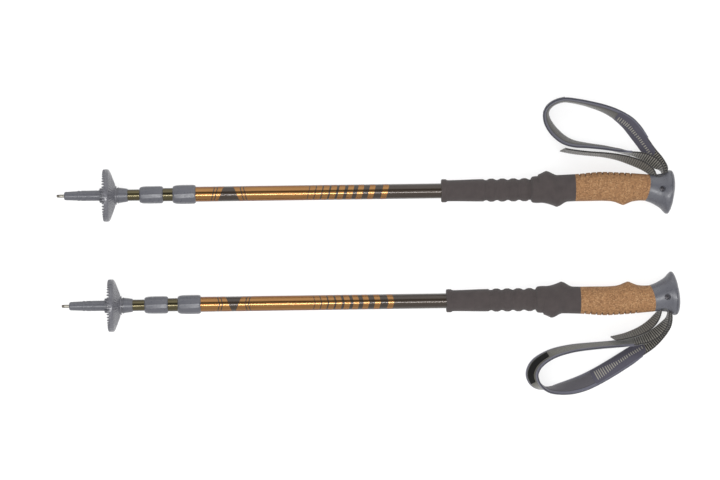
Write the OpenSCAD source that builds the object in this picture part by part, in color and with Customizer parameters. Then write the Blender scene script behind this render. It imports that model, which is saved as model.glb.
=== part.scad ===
// A pair of three-section telescoping trekking poles with twist locks, collapsed and lying flat.
// Each pole is drawn along +X in its own frame: tip at u = 0, +Y towards the head's nose.

/* [Layout] */
// Distance between the two pole axes
axis_gap = 116.8; // [112:0.1:180]
// How far the right pole lies further along than the left one
right_ahead = 3.7; // [0:0.1:8]

/* [Shafts] */
// Outside diameter of the upper shaft
upper_d = 16; // [15.9:0.05:16.1]
// Outside diameter of the middle shaft
middle_d = 14; // [13.9:0.05:14.1]
// Outside diameter of the lower shaft
lower_d = 12; // [11.9:0.05:12.1]
// Wall of all three shafts
tube_wall = 0.8; // [0.7:0.05:0.9]

/* [Lengths from the tip] */
// Front of the flex tip
flex_u = 7.9; // [7.5:0.1:8.2]
// Front of the basket's hub
basket_u = 45.4; // [45:0.1:46]
// Rear end of the flex tip
flex_end_u = 75.2; // [74:0.1:76]
// Front of the lower collar
lower_collar_u = 87.7; // [86:0.1:89]
// Front of the upper collar
upper_collar_u = 122.9; // [122:0.1:124]
// Front of the foam grip
foam_u = 407.7; // [400:0.5:410]
// Foam to cork joint
cork_u = 550; // [548:0.5:552]
// Cork to head joint
head_u = 627.7; // [627.5:0.1:628]

/* [Basket] */
// Outside diameter of the basket
basket_d = 55.8; // [50:0.1:60]
// Teeth around the basket's rim
rim_teeth = 48; // [40:1:60]
// Lugs around the basket's hub
hub_lugs = 12; // [8:1:14]

/* [Strap] */
// Width of the strap's webbing
webbing_w = 17; // [15:0.5:18]
// Thickness of the webbing
webbing_t = 1.4; // [1:0.1:1.5]
// Width of the soft wrist pad
pad_w = 20; // [18:0.5:20]
// Thickness of the wrist pad
pad_t = 2.2; // [1.5:0.1:2.4]

/* [Hidden] */
$fn = 64;
PIECES = [
    "carbide_tip", "tip_ferrule", "flex_tip", "basket", "lower_shaft", "lower_plug",
    "lower_cone_nut", "lower_expander", "lower_collar", "middle_shaft", "middle_plug",
    "middle_cone_nut", "middle_expander", "upper_collar", "upper_shaft", "foam_grip",
    "cork_grip", "grip_head", "strap_pin", "strap_wedge", "strap_webbing", "wrist_pad",
    "strap_label"
];
SIDES = ["left", "right"];

plastic = "#7c7f87";
dark_plastic = "#2e2e32";
olive_metal = "#6a6240";
steel = "#b9b4a6";
nylon = "#d8d4c8";

// running clearance of one round piece in another, and the gap of a glued one
run_gap = 0.06;
glue_gap = 0.02;

upper_r = upper_d / 2;
middle_r = middle_d / 2;
lower_r = lower_d / 2;
upper_in_r = upper_r - tube_wall;
middle_in_r = middle_r - tube_wall;
lower_in_r = lower_r - tube_wall;

// where each shaft starts and ends
lower_start_u = flex_end_u - 8.2;
lower_end_u = 470;
middle_start_u = lower_collar_u + 4.5;
middle_end_u = 540;
upper_start_u = upper_collar_u + 4.5;
head_plug_u = head_u - 24;

// the twist locks: plug, screw, cone nut and expander sleeve
plug_len = 14;
screw_r = 3;
screw_len = 38;
expander_gap = 3;
expander_len = 30;
cone_len = 9;
cone_place = 21;
slit_w = 1.2;

seat_r = 6;
pilot_r = 5.5;
rim_r = basket_d / 2;
rim_front_u = basket_u + 6.2;
rim_back_u = basket_u + 10;
hub_back_u = basket_u + 20;

// grip head: nose and palm reach, half depth, at each station
head_nose = [
    [627.7, 13.6], [633, 15.8], [637, 18.8], [641, 22.6], [644, 26], [646.4, 27.8], [648, 27.6],
    [650, 25.2], [652, 20.6], [654, 12.4], [655.2, 6.5], [655.8, 2]
];
head_palm = [
    [627.7, 14.5], [633, 14.4], [641, 15], [645, 16.4], [648, 18.2], [651, 18.8], [653, 18],
    [654.6, 15.4], [655.4, 12.4], [655.8, 10]
];
head_depth = [
    [627.7, 13.4], [634, 13.8], [640, 15.2], [645, 17.6], [648.5, 19], [651, 18.9], [653, 17.4],
    [654.6, 14], [655.4, 10.4], [655.8, 6]
];
head_stations = [627.7, 631, 634, 637, 640, 642.5, 645, 647, 649, 651, 652.6, 654, 655, 655.8];
head_rest_u = 649;

// cork: nose, palm and half depth
cork_nose = [
    [550, 13], [560, 13], [576, 12.9], [586, 13.3], [592, 14.4], [597, 16.4], [601, 17.7],
    [605, 16.3], [610, 14.4], [616, 13.5], [622, 13.2], [627.7, 13.5]
];
cork_palm = [[550, 15.8], [558, 16.4], [566, 17.2], [578, 17.8], [592, 17.3], [605, 16.5], [617, 15.4], [627.7, 14.5]];
cork_depth = [[550, 14], [575, 13.6], [600, 14], [627.7, 13.3]];

// foam flare: base size at both ends, and the slanted ridge over it
flare_u = 511;
flare_steps = 26;
foam_neck_r = 14.3;
ridge_mid_u = 524.2;
ridge_slant = 5.4;
ridge_h = 5;
rib_pitch = 11.7;
first_rib_u = 461;

// strap slot, wedge and pin
slot_u = 630.5;
slot_end_u = 647.2;
slot_half_w = 9.6;
pin_u = 641;
pin_y = 1;
pin_r = 2.2;
wrap_r = pin_r + 0.35 + webbing_t / 2;

// each pole rests on its basket's rim and its head's rim
rest_run = head_rest_u - rim_back_u;
tilt = atan((rim_r - lookup(head_rest_u, head_depth)) / rest_run);
tip_z = rim_back_u * sin(tilt) + rim_r * cos(tilt);
slot_z = tip_z - pin_u * sin(tilt);

// the outer box is centred on the origin
left_tip_x = -329.75;
right_tip_x = left_tip_x + right_ahead;
left_axis_y = 60.26;
right_axis_y = left_axis_y - axis_gap;

// the slot's last stretch of the webbing: down one side of the pin, round it and out as the tail
pin_turn = [for (a = [0:45:180]) [pin_u + wrap_r * cos(a), -pin_y - wrap_r * sin(a), 0, 1]];

// strap routes: [along the pole, out from its axis, lean outward in degrees, lift towards the slot]
left_loop = [
    [645.9, -3, 0, 1], [646, 6, 0, 1], [646, 14, 6, 1], [644.4, 21, 28, 0.9], [638.7, 29, 42, 0.7],
    [632, 37, 46, 0.5], [626, 45.5, 48, 0.3], [620, 55, 50, 0.1], [614, 63.5, 48, 0],
    [607, 71, 42, 0], [595, 79.6, 28, 0], [582, 85.8, 18, 0], [567, 90.8, 10, 0], [554, 94, 6, 0],
    [541, 95.8, 4, 0], [530.5, 93.2, 5, 0], [523.5, 88, 8, 0], [520.6, 81.5, 14, 0],
    [521.6, 74.5, 22, 0], [525, 67.5, 28, 0], [531, 59.8, 30, 0], [539.5, 52.8, 28, 0],
    [550, 48.3, 20, 0], [566, 45.6, 10, 0], [582, 43.2, 6, 0], [597.5, 40, 0, 0],
    [611, 37.4, -10, 0.1], [622, 34.4, -24, 0.3], [630.5, 30, -36, 0.6], [637.4, 25, -34, 0.85],
    [642.4, 20, -12, 1], [644.1, 14, 0, 1], [644.1, 6, 0, 1]
];
left_tail = [
    [637.9, 3, 0, 1], [636.8, 8, 0, 1], [634.6, 13, 10, 1], [630.4, 18.4, 24, 0.85],
    [622.8, 24, 30, 0.6], [610.5, 29.4, 28, 0.25], [597.5, 33.4, 20, 0], [582, 36.2, 14, 0],
    [566, 37.8, 12, 0], [550, 39.8, 12, 0], [536, 42.6, 12, 0]
];
right_loop = [
    [645.9, -3, 0, 1], [646, 6, 0, 1], [646.1, 15, 0, 1], [646.3, 21.5, 4, 0.9], [643.4, 30.5, 14, 0.65],
    [635.6, 40, 26, 0.4], [625, 48.4, 44, 0.2], [612.4, 56, 56, 0.1], [599, 64.8, 60, 0],
    [583, 74.6, 62, 0], [568, 83, 62, 0], [554, 89.6, 60, 0], [540.5, 93.8, 50, 0],
    [528, 96, 34, 0], [516.5, 96.8, 12, 0], [507.5, 94.2, -12, 0], [501, 88.4, -30, 0],
    [498.4, 80, -38, 0], [502, 70.8, -38, 0], [510.5, 63.4, -32, 0], [523.5, 57.2, -26, 0],
    [542.5, 52.8, -20, 0], [566, 50.4, -16, 0], [585, 49, -16, 0], [600, 47.6, -20, 0],
    [612.5, 45.6, -28, 0.1], [622.5, 42.4, -36, 0.3], [631.5, 37, -38, 0.55], [638.6, 29.5, -26, 0.75],
    [643, 21.5, -6, 0.95], [644.1, 14, 0, 1], [644.1, 6, 0, 1]
];
right_tail = [
    [637.9, 3, 0, 1], [636.9, 8, 0, 1], [635, 13.4, 6, 1], [631.4, 20, 20, 0.85], [626.6, 26.4, 28, 0.6],
    [619.6, 32.2, 30, 0.35], [610.5, 36.8, 26, 0.15], [598, 40.8, 20, 0], [583.5, 43.6, 16, 0]
];
left_route = concat(left_loop, pin_turn, left_tail);
right_route = concat(right_loop, pin_turn, right_tail);

// first and last route point of the wrist pad and of the label
left_pad_span = [6.5, 26];
right_pad_span = [7, 24.5];
left_label_span = [14, 17];
right_label_span = [16, 19.5];
label_w = 9;
label_t = 0.6;
strap_stack = 3.3;
sewn_gap = 0.18;
rings_per_point = 2;

// ---------------------------------------------------------------- placing

// Puts a left or a right pole's own frame on the ground.
module pole_frame(side) {
    left = side == "left";
    translate([left ? left_tip_x : right_tip_x, left ? left_axis_y : right_axis_y, tip_z])
        rotate([0, tilt, 0])
            rotate([left ? 180 : 0, 0, 0])
                children();
}

// Turns an outline of [radius, u] points about the pole's axis.
module turned(outline) {
    rotate([0, 90, 0]) rotate_extrude() polygon(outline);
}

// A round bar along the pole.
module bar(u, length, r) {
    translate([u, 0, 0]) rotate([0, 90, 0]) cylinder(h = length, r = r);
}

module tube(u, end_u, r_out, r_in) {
    turned([[r_in, u], [r_out, u], [r_out, end_u], [r_in, end_u]]);
}

// A ring of short teeth standing off a plane, inside two radii.
module tooth_ring(u, height, r_in, r_out, count, width) {
    translate([u, 0, 0]) rotate([0, 90, 0]) linear_extrude(height)
        intersection() {
            difference() {
                circle(r = r_out);
                circle(r = r_in);
            }
            union() for (i = [0:count - 1]) rotate(360 * i / count) translate([0, -width / 2]) square([r_out + 1, width]);
        }
}

// ---------------------------------------------------------------- lofted shapes

ring_sides = 32;

function oval(u, nose, palm, depth) = [
    for (i = [0:ring_sides - 1])
        let (a = 360 * i / ring_sides)
        [u, (nose - palm) / 2 + (nose + palm) / 2 * cos(a), depth * sin(a)]
];

// Joins rings of points, all of the same count, into one closed skin. The quads of the side
// named by turned_side are split along their other diagonal.
module loft(rings, turned_side = -1) {
    n = len(rings[0]);
    last = len(rings) - 1;
    polyhedron(
        points = [for (ring = rings) each ring],
        faces = concat(
            [[for (i = [n - 1:-1:0]) i]],
            [[for (i = [0:n - 1]) last * n + i]],
            [
                for (k = [0:last - 1]) for (i = [0:n - 1])
                    let (a = k * n + i, b = k * n + (i + 1) % n, c = b + n, d = a + n)
                    each (i == turned_side ? [[a, b, d], [b, c, d]] : [[a, b, c], [a, c, d]])
            ]
        ),
        convexity = 6
    );
}

// ---------------------------------------------------------------- tip and basket

module carbide_tip() {
    color(steel)
        turned([[0, 0.9], [1.1, 0], [1.35, 0.15], [1.55, 0.7], [1.6, 2.6], [1.1, 2.6], [1.1, 12], [0, 12]]);
}

module tip_ferrule() {
    color(steel)
        turned([[1.12, 2.6], [1.6, 2.6], [1.72, 3], [1.75, 20.5], [1.12, 20.5]]);
}

module flex_tip() {
    nose = flex_u;
    socket = lower_start_u;
    color(plastic)
        turned([
            [1.77, nose], [3.3, nose], [4.1, nose + 0.5], [4.5, nose + 1.6], [4.95, 20], [4.95, 22],
            [5.45, 22.4], [5.45, 24.4], [5.1, 24.8], [5.1, 26], [pilot_r, 26], [pilot_r, basket_u - 0.6],
            [seat_r, basket_u - 0.6], [seat_r, hub_back_u], [8.2, hub_back_u], [7, flex_end_u - 0.8],
            [6.5, flex_end_u], [lower_r + glue_gap, flex_end_u], [lower_r + glue_gap, socket],
            [lower_in_r - glue_gap, socket], [lower_in_r - glue_gap, socket + 17],
            [lower_in_r - 0.8, socket + 18], [0, socket + 18], [0, 20.5], [1.77, 20.5]
        ]);
}

module basket() {
    lug_r = 7.8;
    color(plastic) {
        turned([
            [seat_r + run_gap, basket_u], [7, basket_u], [7, basket_u + 15], [9.4, basket_u + 15],
            [rim_r - 2.2, rim_front_u + 2.4], [rim_r - 2.2, rim_front_u + 1], [rim_r - 1.5, rim_front_u],
            [rim_r, rim_front_u], [rim_r, rim_back_u], [rim_r - 0.5, rim_back_u + 0.6],
            [10.5, basket_u + 16.8], [9.9, basket_u + 17.1], [9.9, basket_u + 18.2],
            [9.3, basket_u + 18.5], [9.3, basket_u + 19], [8.7, basket_u + 19.3],
            [8.7, hub_back_u], [seat_r + run_gap, hub_back_u]
        ]);
        tooth_ring(rim_front_u - 1.9, 2.3, rim_r - 1.4, rim_r - 0.2, rim_teeth, 1.5);
        tooth_ring(basket_u, 3.6, 6.8, lug_r, hub_lugs, 2);
    }
}

// ---------------------------------------------------------------- shafts, locks and collars

// Plug in a tube's end with a shoulder and a screw beyond it.
module plug(tube_end_u, tube_in_r, shoulder_r) {
    color(nylon)
        turned([
            [0, tube_end_u - plug_len], [tube_in_r - 0.5, tube_end_u - plug_len],
            [tube_in_r - glue_gap, tube_end_u - plug_len + 0.6], [tube_in_r - glue_gap, tube_end_u],
            [shoulder_r, tube_end_u], [shoulder_r, tube_end_u + 2], [screw_r, tube_end_u + 2],
            [screw_r, tube_end_u + screw_len - 0.6], [screw_r - 0.6, tube_end_u + screw_len],
            [0, tube_end_u + screw_len]
        ]);
}

// Cone nut on the screw, wide end away from the plug.
module cone_nut(tube_end_u, bore_r) {
    start = tube_end_u + cone_place;
    color("gold")
        turned([
            [screw_r + run_gap, start], [screw_r + 0.9, start], [bore_r - 1.6, start + cone_len - 1.6],
            [bore_r - 1.6, start + cone_len], [screw_r + run_gap, start + cone_len]
        ]);
}

// Slotted sleeve that the cone nut spreads against the outer tube.
module expander(tube_end_u, bore_r) {
    start = tube_end_u + expander_gap;
    end = start + expander_len;
    cone_start = tube_end_u + cone_place;
    color("#3a3a3e")
        difference() {
            turned([
                [screw_r + 0.25, start], [bore_r - 0.6, start], [bore_r - run_gap, start + 0.8],
                [bore_r - run_gap, end], [bore_r - 1.1, end], [bore_r - 1.1, cone_start + cone_len - 1.6],
                [screw_r + 1.5, cone_start], [screw_r + 0.25, cone_start - 0.4]
            ]);
            for (turn = [0, 90])
                rotate([turn, 0, 0]) translate([start + 8, -bore_r - 1, -slit_w / 2])
                    cube([expander_len, 2 * bore_r + 2, slit_w]);
        }
}

// Collar moulded on a tube's lower end, with a guide for the next tube.
module collar(u, length, r, guide_r, tube_r, tube_u) {
    color(plastic)
        turned([
            [guide_r + run_gap, u], [r * 0.78, u], [r * 0.89, u + 0.7], [r * 0.95, u + 1.9],
            [r * 0.985, u + 3.6], [r, u + 6], [r, u + length - 3], [r * 0.985, u + length - 1.8],
            [r * 0.94, u + length - 0.8], [r * 0.84, u + length], [tube_r + glue_gap, u + length],
            [tube_r + glue_gap, tube_u], [guide_r + run_gap, tube_u]
        ]);
}

module lower_shaft() { color(olive_metal) tube(lower_start_u, lower_end_u, lower_r, lower_in_r); }
module lower_plug() { plug(lower_end_u, lower_in_r, lower_r - 0.1); }
module lower_cone_nut() { cone_nut(lower_end_u, middle_in_r); }
module lower_expander() { expander(lower_end_u, middle_in_r); }
module lower_collar() { collar(lower_collar_u, 24.9, 9.2, lower_r, middle_r, middle_start_u); }
module middle_shaft() { color(olive_metal) tube(middle_start_u, middle_end_u, middle_r, middle_in_r); }
module middle_plug() { plug(middle_end_u, middle_in_r, middle_r - 0.1); }
module middle_cone_nut() { cone_nut(middle_end_u, upper_in_r); }
module middle_expander() { expander(middle_end_u, upper_in_r); }
module upper_collar() { collar(upper_collar_u, 24.4, 10.1, middle_r, upper_r, upper_start_u); }
module upper_shaft() { color("#b07832") tube(upper_start_u, head_u, upper_r, upper_in_r); }

// ---------------------------------------------------------------- grip

function flare_base(u, at_neck, at_cork) = at_neck + (at_cork - at_neck) * (u - flare_u) / (cork_u - flare_u);

// Height of the slanted ridge, a distance past its crest: a slow rise, then a rounded fall.
function ridge(d) = ridge_h * (d < 0 ? pow(max(0, 1 + d / 16), 1.6) : d < 13 ? (1 + cos(180 * d / 13)) / 2 : 0);

function flare_ring(u) = [
    for (p = oval(u, flare_base(u, foam_neck_r, 13), flare_base(u, foam_neck_r, 15.8), flare_base(u, foam_neck_r, 14)))
        let (r = norm([p.y, p.z]), grown = (r + ridge(u - ridge_mid_u - ridge_slant * p.y / r)) / r)
        [u, p.y * grown, p.z * grown]
];

// Radius and place of each turned ring: the front lip, the four finger ribs and the neck.
foam_rings = [
    [11.9, foam_u], [12.3, foam_u + 0.8], [12.3, foam_u + 4.6], [11.4, foam_u + 6.4], [11.2, foam_u + 8],
    [11.9, first_rib_u - 9], [10.9, first_rib_u - 6.6], [10.8, first_rib_u - 5],
    for (i = [0:3]) let (u = first_rib_u + i * rib_pitch) each [
        [11.7, u - 3.2], [12.3, u - 1.2], [12.3, u + 1.2], [11.7, u + 3.2], [10.8, u + 5.3], [10.8, u + 6.4]
    ],
    [12.6, flare_u - 8.5], [14, flare_u - 5], [foam_neck_r, flare_u - 2]
];

module foam_grip() {
    color("#504848")
        difference() {
            loft([
                for (p = foam_rings) oval(p[1], p[0], p[0], p[0]),
                for (k = [0:flare_steps]) flare_ring(flare_u + (cork_u - flare_u) * k / flare_steps)
            ]);
            bar(foam_u - 1, cork_u - foam_u + 2, upper_r + glue_gap);
        }
}

module cork_grip() {
    color("#b8855a")
        difference() {
            loft([
                for (u = [cork_u, 556, 562, 568, 574, 580, 586, 590, 593.5, 596.5, 599, 601, 603, 605.5, 608.5, 612, 617, 622, head_u])
                    oval(u, lookup(u, cork_nose), lookup(u, cork_palm), lookup(u, cork_depth))
            ]);
            bar(cork_u - 1, head_u - cork_u + 2, upper_r + glue_gap);
        }
}

module grip_head() {
    plug_r = upper_in_r - 0.03;
    color(plastic)
        difference() {
            loft([
                oval(head_plug_u, plug_r, plug_r, plug_r),
                oval(head_u, plug_r, plug_r, plug_r),
                for (u = head_stations) oval(u, lookup(u, head_nose), lookup(u, head_palm), lookup(u, head_depth))
            ]);
            translate([slot_u, -40, -slot_half_w]) cube([slot_end_u - slot_u, 46, 2 * slot_half_w]);
            translate([pin_u, pin_y, -30]) cylinder(h = 60, r = pin_r + 0.3);
        }
}

module strap_pin() {
    half = 14;
    color(steel) translate([pin_u, pin_y, -half]) cylinder(h = 2 * half, r = pin_r);
}

module strap_wedge() {
    half = slot_half_w - 0.5;
    color(dark_plastic)
        translate([0, 0, -half]) linear_extrude(2 * half)
            polygon([[642.9, -3.8], [639.5, -3.8], [637.3, -12.6], [637.3, -13.4], [642.3, -13.4]]);
}

// ---------------------------------------------------------------- strap

function curve(a, b, c, d, t) = (2 * b + (c - a) * t + (2 * a - 5 * b + 4 * c - d) * t * t + (3 * b - a - 3 * c + d) * t * t * t) / 2;

// The route at any place between its points.
function along(route, x) =
    let (n = len(route) - 1, i = max(0, min(floor(x), n - 1)))
    curve(route[max(i - 1, 0)], route[i], route[i + 1], route[min(i + 2, n)], x - i);

// Four corners of the band at one place: it stands on its edge, leans, and rises to the slot.
function band_ring(route, x, w, t, offset) =
    let (
        p = along(route, x),
        step = along(route, x + 0.01) - along(route, x - 0.01),
        run = norm([step.x, step.y]),
        outward = [step.y / run, -step.x / run],
        lean = p[2],
        ground_z = pad_w / 2 * cos(lean) + strap_stack * abs(sin(lean)) + 0.4,
        mid = [p.x, p.y, ground_z + (slot_z - ground_z) * p[3]],
        wide = [outward.x * sin(lean), outward.y * sin(lean), cos(lean)],
        thick = [-outward.x * cos(lean), -outward.y * cos(lean), sin(lean)]
    )
    [for (c = [[-1, -1], [1, -1], [1, 1], [-1, 1]]) mid + wide * c.x * w / 2 + thick * (offset + c.y * t / 2)];

module band(side, span, w, t, offset) {
    left = side == "left";
    route = left ? left_route : right_route;
    count = round((span[1] - span[0]) * rings_per_point);
    translate([left ? left_tip_x : right_tip_x, left ? left_axis_y : right_axis_y, 0])
        mirror([0, left ? 0 : 1, 0])
            loft(
                [for (i = [0:count]) band_ring(route, span[0] + (span[1] - span[0]) * i / count, w, t, offset)],
                turned_side = 0
            );
}

module strap_webbing(side) {
    route = side == "left" ? left_route : right_route;
    color("#35353a") band(side, [0, len(route) - 1], webbing_w, webbing_t, 0);
}

module wrist_pad(side) {
    color("#6b6b76")
        band(side, side == "left" ? left_pad_span : right_pad_span, pad_w, pad_t, (webbing_t + pad_t) / 2 + sewn_gap);
}

module strap_label(side) {
    color("#141416")
        band(side, side == "left" ? left_label_span : right_label_span, label_w, label_t, -(webbing_t + label_t) / 2 - sewn_gap);
}

// ---------------------------------------------------------------- one node per piece

for (side = SIDES) {
    pole_frame(side) carbide_tip();
    pole_frame(side) tip_ferrule();
    pole_frame(side) flex_tip();
    pole_frame(side) basket();
    pole_frame(side) lower_shaft();
    pole_frame(side) lower_plug();
    pole_frame(side) lower_cone_nut();
    pole_frame(side) lower_expander();
    pole_frame(side) lower_collar();
    pole_frame(side) middle_shaft();
    pole_frame(side) middle_plug();
    pole_frame(side) middle_cone_nut();
    pole_frame(side) middle_expander();
    pole_frame(side) upper_collar();
    pole_frame(side) upper_shaft();
    pole_frame(side) foam_grip();
    pole_frame(side) cork_grip();
    pole_frame(side) grip_head();
    pole_frame(side) strap_pin();
    pole_frame(side) strap_wedge();
    strap_webbing(side);
    wrist_pad(side);
    strap_label(side);
}
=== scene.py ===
"""The detailed look of a pair of collapsed trekking poles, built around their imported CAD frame.

Lengths are in millimetres in a pole's own frame, unless a comment says otherwise: u runs along the
axis from the point, y goes towards the nose of the grip head, and z to its left side. The straps'
routes lie level in the row frame, as u from the point and s out from the axis to the palm side.
"""

import math
from bisect import bisect_right

import bmesh
import bpy
from mathutils import Euler, Matrix, Vector


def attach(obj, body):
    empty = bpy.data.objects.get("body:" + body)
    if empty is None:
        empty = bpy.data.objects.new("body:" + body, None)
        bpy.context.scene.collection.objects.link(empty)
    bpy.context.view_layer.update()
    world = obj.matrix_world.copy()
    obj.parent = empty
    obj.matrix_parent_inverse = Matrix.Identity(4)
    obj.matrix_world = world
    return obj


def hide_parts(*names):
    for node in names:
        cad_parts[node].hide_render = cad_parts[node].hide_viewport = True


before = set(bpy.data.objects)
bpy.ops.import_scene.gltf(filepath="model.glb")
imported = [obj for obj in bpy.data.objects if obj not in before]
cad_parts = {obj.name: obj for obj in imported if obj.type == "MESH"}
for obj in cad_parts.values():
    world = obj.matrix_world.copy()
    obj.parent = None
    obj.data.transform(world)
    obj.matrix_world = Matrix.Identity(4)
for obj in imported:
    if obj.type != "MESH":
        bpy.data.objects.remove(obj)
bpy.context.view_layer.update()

MM = 0.001
SIDES = ("left", "right")

# ---------------------------------------------------------------- where the poles lie

TIP_X = {"left": -329.75, "right": -326.05}
AXIS_Y = {"left": 60.26, "right": -56.54}
TIP_Z = 28.7292
TILT = math.radians(0.8609)
ROLL = {"left": math.pi, "right": 0.0}  # the left pole lies with its strap side up the picture
PALM_SIDE = {"left": 1, "right": -1}  # which way along the row frame's Y each strap lies


def pole_place(side):
    """A pole's own frame in millimetres, as a matrix to the row frame in metres."""
    tip = Matrix.Translation(Vector((TIP_X[side], AXIS_Y[side], TIP_Z)) * MM)
    return tip @ Euler((ROLL[side], TILT, 0)).to_matrix().to_4x4() @ Matrix.Scale(MM, 4)


# ---------------------------------------------------------------- curves through tables of points


def smooth_curve(points):
    """A function that passes smoothly through (place, value) points and never overshoots them."""
    places = [p[0] for p in points]
    values = [p[1] for p in points]
    last = len(points) - 1
    slopes = [(values[i + 1] - values[i]) / (places[i + 1] - places[i]) for i in range(last)]
    tangents = [slopes[0]]
    for before, after in zip(slopes, slopes[1:]):
        level = before * after <= 0
        tangents.append(0.0 if level else 2 * before * after / (before + after))
    tangents.append(slopes[-1])

    def value_at(place):
        i = min(max(bisect_right(places, place) - 1, 0), last - 1)
        width = places[i + 1] - places[i]
        t = min(max((place - places[i]) / width, 0.0), 1.0)
        start = (1 + 2 * t) * (1 - t) ** 2 * values[i] + t * (1 - t) ** 2 * width * tangents[i]
        end = t * t * (3 - 2 * t) * values[i + 1] - t * t * (1 - t) * width * tangents[i + 1]
        return start + end

    return value_at


def ease(value, low, high):
    """0 below low, 1 above high, and a smooth step between them."""
    t = min(max((value - low) / (high - low), 0.0), 1.0)
    return t * t * (3 - 2 * t)


def steps(start, end, size):
    """Evenly spaced places from start to end, about size apart."""
    count = max(1, round((end - start) / size))
    return [start + (end - start) * i / count for i in range(count + 1)]


# ---------------------------------------------------------------- meshes


def new_piece(side, name, body, points, faces, material, slot, stands_for=None, sharp=38.0):
    """A smooth-shaded object from points in the row frame, in metres, that rides on a body of its pole.

    Its slot of the record is not used; it takes the material it is given, and may stand for a CAD node.
    """
    mesh = bpy.data.meshes.new(f"{side}_{name}")
    mesh.from_pydata(points, [], faces)
    tidy = bmesh.new()
    tidy.from_mesh(mesh)
    bmesh.ops.recalc_face_normals(tidy, faces=tidy.faces)
    tidy.to_mesh(mesh)
    tidy.free()
    mesh.shade_smooth()
    mesh.set_sharp_from_angle(angle=math.radians(sharp))
    mesh.materials.append(material)
    piece = bpy.data.objects.new(f"{side}_{name}", mesh)
    bpy.context.collection.objects.link(piece)
    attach(piece, f"{side}_{body}")
    if stands_for:
        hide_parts(f"{side}_{stands_for}")
    return piece


def store(piece, **values):
    """Keeps numbers for each point, for the material to read."""
    for name, numbers in values.items():
        stored = piece.data.attributes.new(name, "FLOAT", "POINT")
        stored.data.foreach_set("value", numbers)


def loft_faces(rings, sides, closed=False):
    """The faces between rings of points: closed joins the last ring to the first, else both are capped."""
    faces = []
    for k in range(rings if closed else rings - 1):
        for i in range(sides):
            here, there, step = k * sides, (k + 1) % rings * sides, (i + 1) % sides
            faces.append((here + i, here + step, there + step, there + i))
    if not closed:
        faces.append(tuple(range(sides))[::-1])
        faces.append(tuple((rings - 1) * sides + i for i in range(sides)))
    return faces


def placed(points, side):
    """Points of a pole's own frame, moved to the row frame."""
    place = pole_place(side)
    return [place @ Vector(p) for p in points]


def lofted(side, name, body, rings, closed=False, **options):
    """A piece whose skin runs through rings of points in the pole's own frame."""
    points = placed([p for ring in rings for p in ring], side)
    faces = loft_faces(len(rings), len(rings[0]), closed)
    return new_piece(side, name, body, points, faces, **options)


def sleeve(side, name, body, rings, bore, **options):
    """A piece with rings as its outside and a round bore from its first ring to its last."""
    sides = len(rings[0])
    inner = []
    for ring in (rings[-1], rings[0]):
        inner.append([(p[0], bore * math.cos(a), bore * math.sin(a)) for p, a in zip(ring, angles(sides))])
    return lofted(side, name, body, rings + inner, closed=True, **options)


def angles(sides):
    return [2 * math.pi * i / sides for i in range(sides)]


def circle(u, radius, sides=96):
    return [(u, radius * math.cos(a), radius * math.sin(a)) for a in angles(sides)]


def oval(u, nose, palm, depth, sides=96):
    """A ring that reaches nose and palm from the axis, and depth to either side, as the CAD's does."""
    mid, half = (nose - palm) / 2, (nose + palm) / 2
    return [(u, mid + half * math.cos(a), depth * math.sin(a)) for a in angles(sides)]


def turned(side, name, body, outline, **options):
    """A piece turned about the pole's axis from a closed outline of (radius, u)."""
    return lofted(side, name, body, [circle(u, radius) for radius, u in outline], closed=True, **options)


# ---------------------------------------------------------------- materials


class Nodes:
    """A node tree, and short ways to add to it."""

    def __init__(self, tree):
        self.tree = tree

    def node(self, kind, values, **settings):
        """A new node with its settings, and its inputs set to values or linked to sockets."""
        made = self.tree.nodes.new("ShaderNode" + kind)
        for key, value in settings.items():
            setattr(made, key, value)
        for key, value in values.items():
            self.feed(made.inputs[key], value)
        return made

    def feed(self, socket, value):
        if isinstance(value, bpy.types.NodeSocket):
            self.tree.links.new(value, socket)
        else:
            socket.default_value = value

    def math(self, operation, a, b=0.0):
        return self.node("Math", {0: a, 1: b}, operation=operation).outputs[0]

    def ramp(self, factor, stops):
        """Colours at places from 0 to 1, of which the first two are the ramp's ends."""
        made = self.node("ValToRGB", {"Fac": factor})
        for i, (place, colour) in enumerate(stops):
            stop = made.color_ramp.elements[i] if i < 2 else made.color_ramp.elements.new(place)
            stop.position = place
            stop.color = colour
        return made.outputs["Color"]


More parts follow.
